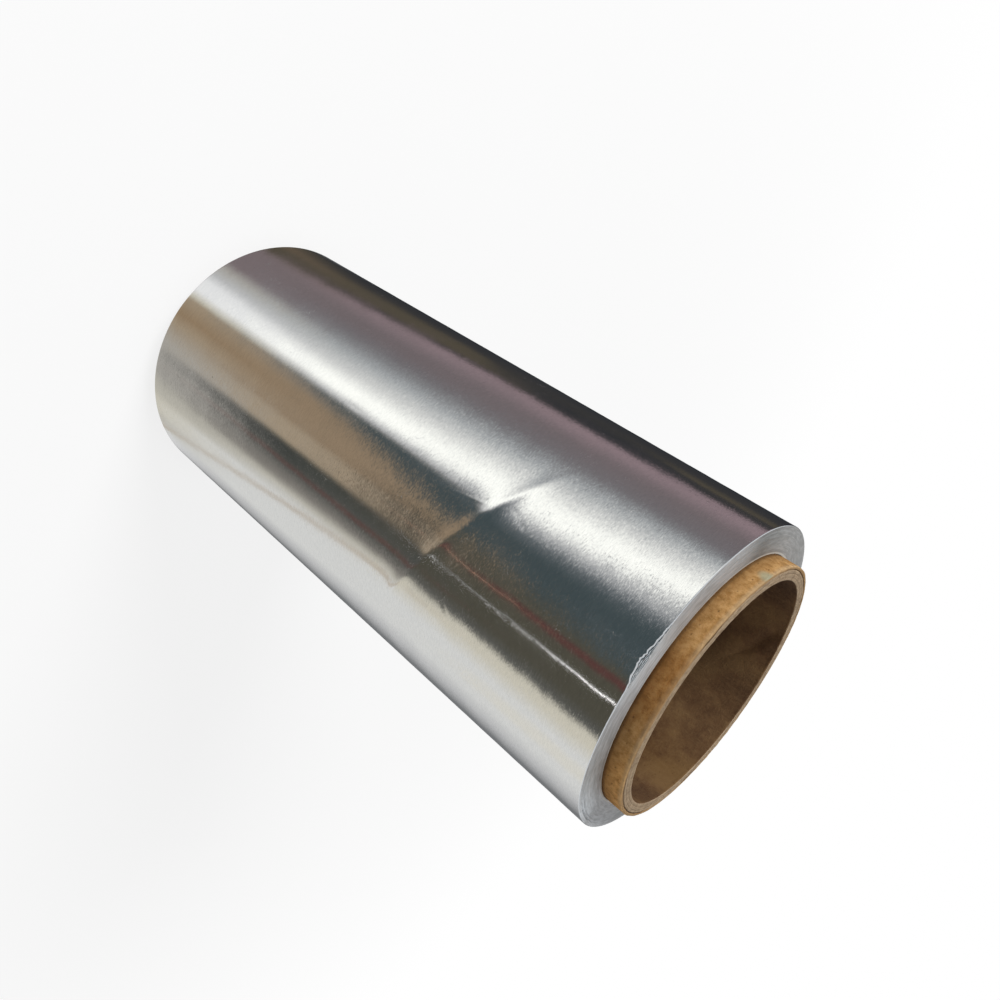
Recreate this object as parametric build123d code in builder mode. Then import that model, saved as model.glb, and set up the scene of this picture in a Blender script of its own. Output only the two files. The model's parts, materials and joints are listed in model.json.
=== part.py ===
"""A roll of aluminium hair foil, wound on a cardboard core.

The roll stands on end. +Z runs up its axis, and the origin is the centre of the ring that it stands
on, which is the lower end of the core. The core stands out of the foil at both ends.
"""

import os
from math import cos, degrees, radians, sin

from build123d import *

# The roll, in millimetres
foil_width = 120.0           # across the foil, so along the roll
foil_build = 5.05            # from the first turn to the last
core_outer_diameter = 46.0
core_wall = 2.5
core_overhang = 3.6          # how far the core stands out of the foil at each end
first_turn_gap = 0.05        # between the core and the first turn

# The ends of the winding: bands of turns that stand up or sink by a little
turn_bands = 6
turn_band_depth = 0.25
rim_drop = 0.5               # the last turns are rubbed back at both rims, by this much along the roll
rim_depth = 0.3              # and by this much across it

# The free end of the last turn, which lifts off the turn below it
tail_angle = 50.0            # degrees from +X to the cut edge, on the side away from the front
tail_reach = 12.0            # length of the last turn that stands off
tail_lift = 0.25

# The crease that runs slantwise down the front of the last turn
crease_angle = -43.5         # degrees from +X to its lower end
crease_sweep = 72.0          # degrees that it runs round the roll
crease_rise = 16.5
crease_below_top = 44.0      # from the foil's upper end down to the crease's lower end
crease_width = 1.4
crease_depth = 0.2

# The plies of the core, seen at its cut ends
core_plies = 4
ply_line_width = 0.16
ply_line_depth = 0.15
core_edge_break = 0.2

# The seams where the strips of the outer and the inner ply meet edge to edge
seam_pitch = 88.0
seam_width = 0.6
seam_depth = 0.15

core_radius = core_outer_diameter / 2
bore_radius = core_radius - core_wall
first_turn_radius = core_radius + first_turn_gap
roll_radius = first_turn_radius + foil_build
core_length = foil_width + 2 * core_overhang
foil_bottom = core_overhang
foil_top = foil_bottom + foil_width
tool_clearance = 0.1         # a cutter stands this much clear of the face that it cuts

os.makedirs("parts", exist_ok=True)


def end_profile(radii, depth, end, inwards):
    """Points along one end of a turned section: even points lie on the end, odd ones sink by depth."""
    return [(r, end + inwards * depth * (i % 2)) for i, r in enumerate(radii)]


def groove_section(path, width, depth, outwards):
    """Face of a V groove across the start of a helical path on a round wall.

    The point of the V lies in the wall by depth, and its open side stands clear of the wall.
    outwards is 1 on an outer wall and -1 on an inner one.
    """
    start = path @ 0
    across = Plane(origin=start, x_dir=Vector(start.X, start.Y, 0), z_dir=path % 0)
    half = width / 2 * (depth + tool_clearance) / depth
    with BuildSketch(across) as section:
        with BuildLine():
            Polyline(
                (-outwards * depth, 0),
                (outwards * tool_clearance, half),
                (outwards * tool_clearance, -half),
                close=True,
            )
        make_face()
    return section.sketch


# The foil: all its turns as one body. Each end is a row of concentric ridges, because the turns wander
# up and down a little as they are wound
rim_inner_radius = roll_radius - rim_depth
band_width = (rim_inner_radius - first_turn_radius) / (2 * turn_bands)
band_radii = [first_turn_radius + band_width * i for i in range(2 * turn_bands + 1)]
bottom_line = end_profile(band_radii, turn_band_depth, foil_bottom, 1)
top_line = end_profile(band_radii, turn_band_depth, foil_top, -1)

# The free end is a wedge between the roll and an arc that leaves it as a tangent
tail_start = tail_angle - degrees(tail_reach / roll_radius)
tail_root = (roll_radius * cos(radians(tail_start)), roll_radius * sin(radians(tail_start)))
tail_heading = (-sin(radians(tail_start)), cos(radians(tail_start)))
tail_radius = roll_radius + tail_lift
tail_edge = (tail_radius * cos(radians(tail_angle)), tail_radius * sin(radians(tail_angle)))

with BuildPart() as foil_winding:
    with BuildSketch(Plane.XZ):
        with BuildLine():
            Polyline(*bottom_line)
            Line(bottom_line[-1], (roll_radius, foil_bottom + rim_drop))
            Line((roll_radius, foil_bottom + rim_drop), (roll_radius, foil_top - rim_drop))
            Line((roll_radius, foil_top - rim_drop), top_line[-1])
            Polyline(*top_line)
            Line(top_line[0], bottom_line[0])
        make_face()
    revolve(axis=Axis.Z)
    with BuildSketch(Plane.XY.offset(foil_bottom + rim_drop)):
        with BuildLine():
            TangentArc(tail_root, tail_edge, tangent=tail_heading)
            Line(tail_edge, (0, 0))
            Line((0, 0), tail_root)
        make_face()
        Circle(first_turn_radius, mode=Mode.SUBTRACT)
    extrude(amount=foil_width - 2 * rim_drop)
    with BuildLine(Plane.XY.offset(foil_top - crease_below_top)) as crease:
        Helix(
            pitch=crease_rise * 360 / crease_sweep,
            height=crease_rise,
            radius=roll_radius,
            lefthand=True,
        )
    crease_path = crease.edge().rotate(Axis.Z, crease_angle)
    section = groove_section(crease_path, crease_width, crease_depth, 1)
    sweep(section, path=crease_path, is_frenet=True, mode=Mode.SUBTRACT)
foil_winding.part.label = "foil_winding"

# The core: paper plies wound one over the other and cut square, with a fine line between plies at
# each cut end
ply = core_wall / core_plies

with BuildPart() as core_tube:
    with BuildSketch(Plane.XY):
        Circle(core_radius)
        Circle(bore_radius, mode=Mode.SUBTRACT)
    extrude(amount=core_length)
    chamfer(core_tube.edges().filter_by(GeomType.CIRCLE), length=core_edge_break)
    for end, inwards in ((0, 1), (core_length, -1)):
        with BuildSketch(Plane.XZ):
            for i in range(1, core_plies):
                line_radius = bore_radius + ply * i
                with BuildLine():
                    Polyline(
                        (line_radius - ply_line_width / 2, end),
                        (line_radius, end + inwards * ply_line_depth),
                        (line_radius + ply_line_width / 2, end),
                        close=True,
                    )
                make_face()
        revolve(axis=Axis.Z, mode=Mode.SUBTRACT)
    for wall_radius, outwards in ((core_radius, 1), (bore_radius, -1)):
        with BuildLine(Plane.XY.offset(-seam_width)) as seam:
            Helix(pitch=seam_pitch, height=core_length + 2 * seam_width, radius=wall_radius)
        section = groove_section(seam.edge(), seam_width, seam_depth, outwards)
        sweep(section, path=seam.edge(), is_frenet=True, mode=Mode.SUBTRACT)
core_tube.part.label = "core_tube"

for sub_part in (foil_winding, core_tube):
    export_step(sub_part.part, f"parts/{sub_part.part.label}.step")
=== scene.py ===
import json
from math import cos, pi, radians, sin

import bmesh
import bpy
import numpy as np
from mathutils import Matrix, Vector


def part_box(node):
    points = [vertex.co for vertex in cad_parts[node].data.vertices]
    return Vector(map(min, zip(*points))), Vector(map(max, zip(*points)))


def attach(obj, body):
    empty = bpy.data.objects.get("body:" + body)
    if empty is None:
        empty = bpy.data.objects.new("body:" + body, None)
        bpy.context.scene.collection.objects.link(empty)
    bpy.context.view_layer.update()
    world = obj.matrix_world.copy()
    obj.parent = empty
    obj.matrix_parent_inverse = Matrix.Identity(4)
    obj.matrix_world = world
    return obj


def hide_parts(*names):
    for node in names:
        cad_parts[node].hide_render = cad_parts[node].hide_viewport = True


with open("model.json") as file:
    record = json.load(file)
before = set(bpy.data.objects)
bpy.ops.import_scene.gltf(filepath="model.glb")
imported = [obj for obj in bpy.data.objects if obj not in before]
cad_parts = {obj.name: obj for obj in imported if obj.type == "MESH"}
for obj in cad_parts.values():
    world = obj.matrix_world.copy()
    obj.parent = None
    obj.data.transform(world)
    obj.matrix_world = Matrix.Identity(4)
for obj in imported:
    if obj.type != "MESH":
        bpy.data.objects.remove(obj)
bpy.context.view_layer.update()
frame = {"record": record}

# Camera
# The photograph shows the roll lying on its side, seen from close by and from over its upper end. Here
# the roll stands on its other end, so the camera keeps its place beside the roll and is turned about
# its own line of sight instead. Places are in metres from the foot of the roll's axis.
camera_place = Vector((0.0, -0.1330, 0.1566))
camera_bearing = radians(92.2)      # of the line of sight, from +X
camera_drop = radians(31.6)         # of the line of sight, below the level
camera_roll = radians(125.1)        # about the line of sight, away from upright
camera_lens_mm = 30.2

sight = Vector((
    cos(camera_drop) * cos(camera_bearing), cos(camera_drop) * sin(camera_bearing), -sin(camera_drop)
))
level_right = sight.cross(Vector((0, 0, 1))).normalized()
level_up = level_right.cross(sight)
right = level_right * cos(camera_roll) + level_up * sin(camera_roll)
up = right.cross(sight)


def placed(name, data):
    """New object in the scene."""
    made = bpy.data.objects.new(name, data)
    bpy.context.scene.collection.objects.link(made)
    return made


camera = placed("camera", bpy.data.cameras.new("camera"))
camera.data.lens = camera_lens_mm
camera.data.sensor_width = 36
camera.data.clip_start = 0.01
camera.matrix_world = Matrix.Translation(camera_place) @ Matrix((right, up, -sight)).transposed().to_4x4()
bpy.context.scene.camera = camera

# Room
# Polished foil looks like whatever stands round it. The room is a ring of upright walls, blinds and one
# window, painted on the world, and only reflections see it. The camera sees white, and rough surfaces
# get even white light.
room_level = 0.44                   # strength of the even light
midnight = (0.024, 0.027, 0.032)
soot = (0.030, 0.031, 0.034)
charcoal = (0.038, 0.037, 0.038)
pine = (0.050, 0.054, 0.047)
slate = (0.052, 0.070, 0.075)
wine = (0.095, 0.042, 0.037)
maroon = (0.105, 0.062, 0.055)
umber = (0.074, 0.069, 0.052)
olive = (0.083, 0.070, 0.050)
drab = (0.092, 0.092, 0.084)
shade = (0.105, 0.085, 0.065)
bark = (0.13, 0.095, 0.065)
ash = (0.125, 0.14, 0.15)
dove = (0.165, 0.152, 0.160)
heather = (0.165, 0.137, 0.142)
rose = (0.19, 0.152, 0.156)
mauve = (0.27, 0.20, 0.215)
pewter = (0.175, 0.18, 0.185)
taupe = (0.20, 0.185, 0.165)
fog = (0.228, 0.232, 0.238)
khaki = (0.283, 0.207, 0.135)
tan = (0.29, 0.205, 0.125)
sand = (0.36, 0.286, 0.20)
oak = (0.42, 0.345, 0.26)
copper = (0.95, 0.50, 0.33)
mist = (0.385, 0.402, 0.41)
stone = (0.40, 0.38, 0.345)
linen = (0.495, 0.472, 0.41)
silver = (0.50, 0.50, 0.50)
cream = (0.60, 0.565, 0.47)
ceiling = (0.60, 0.62, 0.64)
pale = (0.67, 0.67, 0.65)
ivory = (0.69, 0.665, 0.59)
gleam = (0.8, 0.8, 0.8)
chalk = (0.9, 0.9, 0.9)
window = (1.12, 1.12, 1.05)
glare = (2.6, 2.55, 2.5)

# Each ring lists what stands at a bearing, in degrees from +X. Colours run into each other between
# places. The upper ring is what the upper part of the roll reflects, and so on down. The first two
# have their first places in common
first_places = [
    (24, pale), (40, silver), (60, pewter), (69, pewter), (82, fog), (92, silver), (98, fog),
    (108, midnight), (133, charcoal), (142, olive),
]
upper_ring = first_places + [
    (148, charcoal), (157, charcoal), (163, mauve), (168, mauve), (182, heather), (200, dove),
    (209, fog), (218, mist), (229, pale), (242, window), (249, window), (255, silver), (263, ash),
    (269, slate), (275, slate), (285, umber), (326, umber), (334.5, drab), (339.5, cream),
    (346, cream), (359, pale),
]
middle_ring = first_places + [
    (154, olive), (157, charcoal), (163, mauve), (182, heather), (190, heather), (201, dove),
    (209, fog), (218, mist), (229, pale), (242, window), (250, window), (257, silver), (262, taupe),
    (272, khaki), (294, khaki), (299, sand), (308, sand), (313, pine), (330, drab), (337, taupe),
    (343, linen), (350, pale),
]
lower_ring = [
    (0, linen), (10, cream), (20, cream), (28, linen), (37, linen), (46, pale), (56, gleam),
    (104, gleam), (118, charcoal), (132, olive), (150, bark), (160, olive), (171, olive), (181, rose),
    (212, rose), (222, stone), (232, silver), (241, gleam), (253, gleam), (260, cream), (264, sand),
    (280, tan), (290, sand), (311, stone), (341, stone), (352, linen),
]
# Things lean, so they stand at another bearing the lower one looks. Lean is in degrees of bearing for
# each degree further down, above the place where they stand as listed and below it
leaning_above = [
    (0, 0.0), (140, 0.0), (152, 0.4), (172, 0.4), (190, 0.3), (205, 0.85), (236, 0.9), (243, 0.72),
    (250, 0.5), (262, 0.4), (270, 0.0), (280, -0.6), (292, -0.9), (302, -0.5), (313, 0.0), (337, -0.07),
    (359, 0.0),
]
leaning_below = [
    (0, 1.1), (30, 1.1), (35, 1.0), (42, 0.7), (50, 0.85), (60, 1.1), (70, 0.5), (85, 0.0), (130, 0.4),
    (160, 0.7), (172, 0.95), (190, 0.7), (200, 0.4), (222, 0.5), (229, 0.64), (236, 0.8), (243, 0.65),
    (249, 0.42), (256, 0.25), (263, 0.1), (300, 0.1), (308, 0.35), (316, 0.35), (327, 0.0), (337, 0.15),
    (344, 0.6), (350, 0.65), (359, 1.1),
]
steepest_lean = 3.0
# Drops are in degrees below the level: where things stand as listed, and where a ring takes over from
# the one above it
as_listed = 35
middle_starts, middle_settles = 33.0, 34.0
lower_starts, lower_settles = 46, 54

# Strips stand in front of a ring. Each has its colour, the bearing of its middle, its half width, the
# drops between which it runs, how soft its sides are, as a share of the half width, and how much it
# covers of what is behind
upper_strips = [
    (soot, 146, 11, 24, 60, 0.4, 0.85),
    (wine, 300.6, 2.4, 0, 28, 0.7, 1.0),
    (copper, 301.8, 0.14, 28, 60, 0.4, 1.0),
    (glare, 312.2, 0.30, 0, 22, 0.4, 1.0),
    (chalk, 312.2, 0.12, 22, 60, 0.4, 1.0),
    (ivory, 10, 6, -10, 25, 0.6, 0.8),
]
leaning_strip = (maroon, 327.5, 2.0, 33, 60, 0.4, 1.0)
middle_strips = [
    (soot, 146, 11, 24, 36, 0.4, 0.7),
    (shade, 303, 12, 32, 38, 0.6, 0.8),
    (pine, 320, 7, 42, 60, 0.6, 0.75),
]
nearest_strip = (soot, 319.5, 4.5, 45, 52, 0.7, 0.35)
strip_end_fade = 2                              # degrees over which a strip's two ends fade out


def give(tree, socket, value):
    """Gives a socket a plain value, or feeds it from another node's output."""
    if isinstance(value, bpy.types.NodeSocket):
        tree.links.new(value, socket)
    else:
        socket.default_value = value


def feed(tree, sockets, **values):
    """Gives sockets their values by name."""
    for name, value in values.items():
        give(tree, sockets[name.replace("_", " ")], value)


def node(tree, kind, *first, **values):
    """Adds a node, gives its first inputs their values, and sets properties and inputs by name."""
    made = tree.nodes.new(kind)
    for name, value in values.items():
        if hasattr(made, name):
            setattr(made, name, value)
        else:
            feed(tree, made.inputs, **{name: value})
    for socket, value in zip(made.inputs, first):
        if value is not None:
            give(tree, socket, value)
    return made


def math(tree, operation, *operands):
    """Output of a Math node, each operand being a number or another node's output."""
    return node(tree, "ShaderNodeMath", *operands, operation=operation).outputs[0]


def product(tree, first, *others):
    """Product of all the operands, each a number or another node's output."""
    result = first
    for other in others:
        result = math(tree, "MULTIPLY", result, other)
    return result


def ease(tree, value, start, end, low=0.0, high=1.0):
    """Goes smoothly from low at start to high at end."""
    return node(tree, "ShaderNodeMapRange", value, interpolation_type="SMOOTHSTEP",
                From_Min=start, From_Max=end, To_Min=low, To_Max=high).outputs[0]


def mix(tree, factor, first, second, blend="MIX"):
    """Colour between first and second, each a colour or another node's output."""
    made = tree.nodes.new("ShaderNodeMix")
    made.data_type = "RGBA"
    made.blend_type = blend
    for name, operand in (("Factor_Float", factor), ("A_Color", first), ("B_Color", second)):
        socket = next(s for s in made.inputs if s.identifier == name)
        give(tree, socket, (*operand, 1) if isinstance(operand, tuple) else operand)
    return next(s for s in made.outputs if s.identifier == "Result_Color")


def ramp(tree, factor, stops):
    """Colour over factor, from 0 to 1, through stops of (place, colour) in rising order."""
    made = node(tree, "ShaderNodeValToRGB", factor)
    elements = made.color_ramp.elements
    for element, (place, colour) in zip(elements, (stops[0], stops[-1])):
        element.position = place
        element.color = (*colour, 1)
    for place, colour in stops[1:-1]:
        elements.new(place).color = (*colour, 1)
    return made.outputs[0]


def ring(tree, bearing, places):
    """Colour round the room at a bearing in degrees, from places of (bearing, colour)."""
    turns = math(tree, "ADD", math(tree, "DIVIDE", bearing, 360.0), 1.0)
    return ramp(tree, math(tree, "FRACT", turns), [(place / 360, colour) for place, colour in places])


def leant(tree, bearing, below_listed, leaning):
    """Bearing at which a ring is read, below_listed degrees under the place where it stands as listed."""
    shares = [(place, (lean / steepest_lean / 2 + 0.5,) * 3) for place, lean in leaning]
    lean = math(tree, "MULTIPLY_ADD", ring(tree, bearing, shares), 2 * steepest_lean, -steepest_lean)
    return math(tree, "SUBTRACT", bearing, math(tree, "MULTIPLY", lean, below_listed))


def strip(tree, behind, bearing, drop, colour, centre, half_width, highest, lowest, softness, cover):
    """Upright strip of colour in front of what is behind, fading out at its sides and at its ends."""
    apart = math(tree, "ABSOLUTE", math(tree, "SUBTRACT", bearing, centre))
    share = product(
        tree, ease(tree, apart, half_width * (1 + softness), half_width * (1 - softness)),
        ease(tree, drop, highest - strip_end_fade, highest),
        ease(tree, drop, lowest + strip_end_fade, lowest), cover,
    )
    return mix(tree, share, behind, colour)


world = bpy.data.worlds.new("room")
bpy.context.scene.world = world
world.use_nodes = True
tree = world.node_tree
tree.nodes.clear()
ray = node(tree, "ShaderNodeSeparateXYZ", node(tree, "ShaderNodeTexCoord").outputs["Generated"])
turns = math(tree, "DIVIDE", math(tree, "ARCTAN2", ray.outputs["Y"], ray.outputs["X"]), 2 * pi)
bearing = math(tree, "MULTIPLY", math(tree, "FRACT", math(tree, "ADD", turns, 1.0)), 360.0)
drop = math(tree, "MULTIPLY", math(tree, "ARCSINE", ray.outputs["Z"]), -180 / pi)
below_listed = math(tree, "SUBTRACT", drop, as_listed)
past = math(tree, "MAXIMUM", below_listed, 0.0)
short = math(tree, "MINIMUM", below_listed, 0.0)

upper = ring(tree, leant(tree, bearing, short, leaning_above), upper_ring)
for its_values in upper_strips:
    upper = strip(tree, upper, bearing, drop, *its_values)
middle_bearing = leant(tree, bearing, past, leaning_below)
middle = ring(tree, middle_bearing, middle_ring)
middle = strip(tree, middle, middle_bearing, drop, *leaning_strip)
for its_values in middle_strips:
    middle = strip(tree, middle, bearing, drop, *its_values)
lower = ring(tree, bearing, lower_ring)
seen_in_foil = mix(tree, ease(tree, drop, middle_starts, middle_settles), upper, middle)
seen_in_foil = mix(tree, ease(tree, drop, lower_starts, lower_settles), seen_in_foil, lower)
seen_in_foil = strip(tree, seen_in_foil, bearing, drop, *nearest_strip)
# A slate wedge stands on its point in the middle ring. Its edge at the higher bearings comes in by
# wedge_narrows for each degree further down
wedge_edge, wedge_narrows = 284.0, 2.0
past_edge = math(tree, "SUBTRACT", bearing, math(tree, "MULTIPLY_ADD", past, -wedge_narrows, wedge_edge))
in_wedge = product(
    tree, ease(tree, past_edge, 9, -9), ease(tree, bearing, 258, 264), ease(tree, drop, 32.5, 34)
)
seen_in_foil = mix(tree, in_wedge, seen_in_foil, slate)
# An oak rail bends away: its bearing grows by rail_lean times past and rail_bend times past cubed. It
# is placed twice, because bearings start again from 0 on its way
rail_lean, rail_bend, rail_half_width = 1.43, 0.0062, 2.6
moved = math(tree, "MULTIPLY_ADD", past, rail_lean, product(tree, past, past, past, rail_bend))
rail = math(tree, "SUBTRACT", bearing, moved)
for centre in (347, -13):
    seen_in_foil = strip(tree, seen_in_foil, rail, drop, oak, centre, rail_half_width, 34, 70, 0.7, 0.7)
# A little over the level, the walls go over into the ceiling
seen_in_foil = mix(tree, ease(tree, drop, -5, -15), seen_in_foil, ceiling)

path = node(tree, "ShaderNodeLightPath").outputs
even = node(tree, "ShaderNodeBackground", Color=(room_level, room_level, room_level, 1)).outputs[0]
mirrored = node(tree, "ShaderNodeBackground", seen_in_foil).outputs[0]
white = node(tree, "ShaderNodeBackground", Color=(1, 1, 1, 1)).outputs[0]
for_surfaces = node(tree, "ShaderNodeMixShader", path["Is Glossy Ray"], even, mirrored).outputs[0]
for_all = node(tree, "ShaderNodeMixShader", path["Is Camera Ray"], for_surfaces, white).outputs[0]
node(tree, "ShaderNodeOutputWorld", for_all)

# Lamp
# One large soft lamp over the camera's left, so the core and the foil's ends get a gentle lit side.
# The foil doesn't mirror it.
lamp_place = Vector((-0.75, -0.45, 0.62))
lamp = placed("lamp", bpy.data.lights.new("lamp", "AREA"))
lamp.data.shape = "DISK"
lamp.data.size = 0.5
lamp.data.energy = 8.5
lamp_turn = lamp_place.to_track_quat("Z", "Y").to_matrix().to_4x4()
lamp.matrix_world = Matrix.Translation(lamp_place) @ lamp_turn
lamp.visible_glossy = False

# Floor
# A plain pale floor. Far from the roll it goes over into the white behind it, so no horizon shows,
# and near the roll it keeps the roll's shadow. The foil doesn't mirror it.
floor_half = 4.0
shadow_reach, white_reach = 0.10, 0.45  # m from the roll's axis, between which the floor turns white
shadow_white = 0.8                      # share of white by the roll, which lets the shadow through
corners = [
    (-floor_half, -floor_half, 0), (floor_half, -floor_half, 0),
    (floor_half, floor_half, 0), (-floor_half, floor_half, 0),
]
floor_mesh = bpy.data.meshes.new("floor")
floor_mesh.from_pydata(corners, [], [(0, 1, 2, 3)])
floor = placed("floor", floor_mesh)
floor.visible_glossy = False
floor_paint = bpy.data.materials.new("floor_paint")
floor_paint.use_nodes = True
tree = floor_paint.node_tree
tree.nodes.clear()
place = node(tree, "ShaderNodeTexCoord").outputs["Object"]
reach = node(tree, "ShaderNodeVectorMath", place, operation="LENGTH").outputs["Value"]
white_share = ease(tree, reach, shadow_reach, white_reach, shadow_white)
by_camera = node(tree, "ShaderNodeLightPath").outputs["Is Camera Ray"]
seen_share = math(tree, "MULTIPLY", by_camera, white_share)
paint = node(tree, "ShaderNodeBsdfDiffuse", Color=(0.9, 0.9, 0.9, 1)).outputs[0]
glow = node(tree, "ShaderNodeEmission", Color=(1, 1, 1, 1)).outputs[0]
blend = node(tree, "ShaderNodeMixShader", seen_share, paint, glow)
node(tree, "ShaderNodeOutputMaterial", blend.outputs[0])
floor_mesh.materials.append(floor_paint)

# Foil winding
# One strip of soft aluminium 16 micrometres thick, wound tightly on the core in some hundreds of turns.
# Its side is the last turn, creased and dented by handling, and its two ends are the slit edges of all
# the turns, side by side.
foil_low, foil_high = (corner * 1000 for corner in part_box("foil_winding"))
core_low, core_high = (corner * 1000 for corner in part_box("core_tube"))
roll_radius = foil_high.x
core_radius = core_high.x
first_turn_gap = 0.05                   # between the core and the first turn
foil_inner = core_radius + first_turn_gap
foil_bottom, foil_top = foil_low.z, foil_high.z
foil_width = foil_top - foil_bottom
side_radius = roll_radius - 0.17        # of the smooth last turn, which the crease stands out of
rim_round, rim_rows = 0.15, 5           # the last turns' edges are rubbed round by this much, in rows
end_sink = 0.03                         # the ends lie this far inside the winding's box

# The crease: a fold that falls slantwise round the front. Angles are in degrees from +X, and distances
# down the side are measured from the foil's upper end, in mm
crease_start, crease_end = -119.0, -42.0
crease_below = 26.25                    # at its start
crease_fall = 0.229                     # mm down for each degree round
crease_slant = radians(25)
crest_height = 0.14
crest_round = 0.4                       # half width of the crest's round top
near_reach, far_reach = 1.0, 1.3        # over which the crest's two sides fall off
start_inset, end_inset = 7, 4           # degrees inside its two ends where it is half as high
start_fade, end_fade = 2.5, 5.0         # degrees over which it fades there
valley_share, valley_reach = 0.7, 4.5   # of the shallow valley behind the crest

# Small dents and wrinkles: the angle and distance below of one end, the same of the other end, half
# width in mm, and height in micrometres, negative where it is pressed in
wrinkles = [
    (-73.5, 11.1, -58.5, 9.4, 0.30, -14), (-72.0, 20.9, -70.6, 20.4, 0.25, -9),
    (-65.0, 17.4, -47.0, 14.2, 0.22, -7), (-61.5, 31.2, -58.0, 29.6, 0.35, -12),
    (-98.5, 28.6, -95.5, 26.0, 0.40, -14), (-96.6, 50.4, -88.0, 50.9, 0.25, -8),
    (-97.5, 67.0, -94.5, 65.4, 0.30, -10), (-95.0, 33.0, -91.0, 42.5, 0.22, 6),
    (-112.0, 49.0, -104.0, 51.0, 0.50, 8), (-84.0, 50.0, -81.0, 50.6, 0.25, -7),
    (-77.0, 50.6, -73.0, 50.2, 0.25, -6), (-30.0, 12.0, -18.0, 13.5, 0.60, 14),
    (-36.0, 96.0, -22.0, 91.0, 0.60, -14), (-150.0, 70.0, -146.0, 77.0, 0.50, 12),
    (-152.0, 30.0, -149.0, 33.5, 0.40, -12),
]
back_wrinkles = 26
chance = np.random.default_rng(7)
for _ in range(back_wrinkles):
    angle, below = chance.uniform(-5, 185), chance.uniform(4, 116)
    wrinkles.append((
        angle, below, angle + chance.uniform(3, 14), below + chance.uniform(-3, 3),
        chance.uniform(0.5, 0.9), chance.uniform(-24, 16),
    ))


def hump(value, centre, half_width):
    """Falls off from 1 at the centre as exp(-(d / half_width) squared), d being the distance from it."""
    return np.exp(-(((value - centre) / half_width) ** 2))


def ridge(degrees, below, start, end, half_width, height):
    """Height of a straight ridge, in mm, where angles count in mm as they do on the foil's side.

    It falls off as a hump does with the distance from the line between start and end, each of which is
    an angle and a distance below.
    """
    mm = radians(1) * side_radius
    along = np.array([(end[0] - start[0]) * mm, end[1] - start[1]])
    across = np.stack([(degrees - start[0]) * mm, below - start[1]], axis=-1)
    share = np.clip(across @ along / (along @ along), 0, 1)
    apart = np.linalg.norm(across - share[..., None] * along, axis=-1)
    return height * hump(apart, 0, half_width)


def crease_height(degrees, below):
    """Height of the crease over the smooth turn, in mm.

    With d the distance from the crest's round top, the near side falls off as exp(-d / near_reach). The
    far side falls off as (1 + v) exp(-d / far_reach) - v exp(-d / valley_reach), v being valley_share.
    Both fade at the ends of the line.
    """
    line = crease_below + crease_fall * (degrees - crease_start)
    apart = (below - line) * cos(crease_slant)
    from_top = np.sqrt(apart**2 + crest_round**2) - crest_round
    near = np.exp(-from_top / near_reach)
    crest, valley = np.exp(-from_top / far_reach), np.exp(-from_top / valley_reach)
    far = (1 + valley_share) * crest - valley_share * valley
    fade = 1 / (1 + np.exp((crease_start + start_inset - degrees) / start_fade))
    fade = fade / (1 + np.exp((degrees - crease_end + end_inset) / end_fade))
    return crest_height * fade * np.where(apart < 0, near, far)


def waviness(degrees, below):
    """Unevenness of the last turn, in mm: a sum of nine slow slanting sine waves and five quick ones."""
    waves = np.random.default_rng(3)
    total = np.zeros_like(degrees)
    for quickened in [1.0] * 9 + [2.5] * 5:
        round_turn, down_roll = waves.integers(3, 26), waves.uniform(0.02, 0.16) * quickened
        phase = np.radians(degrees) * round_turn + 2 * pi * below * down_roll + waves.uniform(0, 2 * pi)
        total += np.sin(phase) / round_turn
    return 0.016 * total


def side_surface(degrees, below):
    """Radius of the side, in mm: the smooth turn plus its crease, wrinkles and waviness."""
    radius = side_radius + crease_height(degrees, below) + waviness(degrees, below)
    for from_angle, from_below, to_angle, to_below, half_width, micrometres in wrinkles:
        start, end = (from_angle, from_below), (to_angle, to_below)
        radius += ridge(degrees, below, start, end, half_width, micrometres / 1000)
    return radius


def end_relief(degrees, depth, seed):
    """Height of an end over its plane, in mm, depth being the distance in from the last turn.

    Turns that wandered in winding stand up or sink as rings: a sum of waves over the depth, each of
    which swells and fades slowly round the end.
    """
    rings = np.random.default_rng(seed)
    total = np.zeros_like(degrees)
    for pitch in (2.3, 1.4, 0.9, 0.55, 0.4):
        swells, turned, shifted = rings.integers(1, 4), rings.uniform(0, 2 * pi), rings.uniform(0, 2 * pi)
        swell = 0.6 + 0.4 * np.sin(np.radians(degrees) * swells + turned)
        total += pitch * swell * np.sin(2 * pi * depth / pitch + shifted)
    return 0.009 * total


# The outer turns' edges are torn back on the upper end, in layers. Each has its depth in from the last
# turn and the height that it has lost, both in mm, and the angles where its tear starts and ends
torn_layers = [
    (0.24, 0.18, -98.0, -76.5), (0.42, 0.17, -92.0, -77.5),
    (0.60, 0.13, -89.5, -79.0), (0.78, 0.10, -87.5, -80.5),
]


def torn_borders(degrees):
    """Depth of each torn layer's ragged border and the height that it has lost, in mm, over the angles.

    The raggedness is a sum of two sine waves, with a pitch and a phase of their own for each layer.
    """
    borders, losses = [], []
    for count, (edge, lost, start, end) in enumerate(torn_layers):
        share = np.clip((degrees - start) / (end - start), 0, 1)
        teeth = np.sin(degrees * 2 * pi / (3.1 + 0.9 * count) + 2 * count)
        fine_teeth = np.sin(degrees * 2 * pi / (1.3 + 0.2 * count) + count)
        borders.append(edge + 0.035 * teeth + 0.02 * fine_teeth)
        losses.append(lost * np.sin(pi * share) ** 0.5 * (1 + 0.3 * teeth + 0.2 * fine_teeth))
    return np.array(borders), np.array(losses)


def nick_depth(degrees, depth):
    """How far the turns at a depth are torn back, in mm: what all the layers that reach it have lost."""
    return sum(np.where(depth < border, lost, 0) for border, lost in zip(*torn_borders(degrees)))


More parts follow.
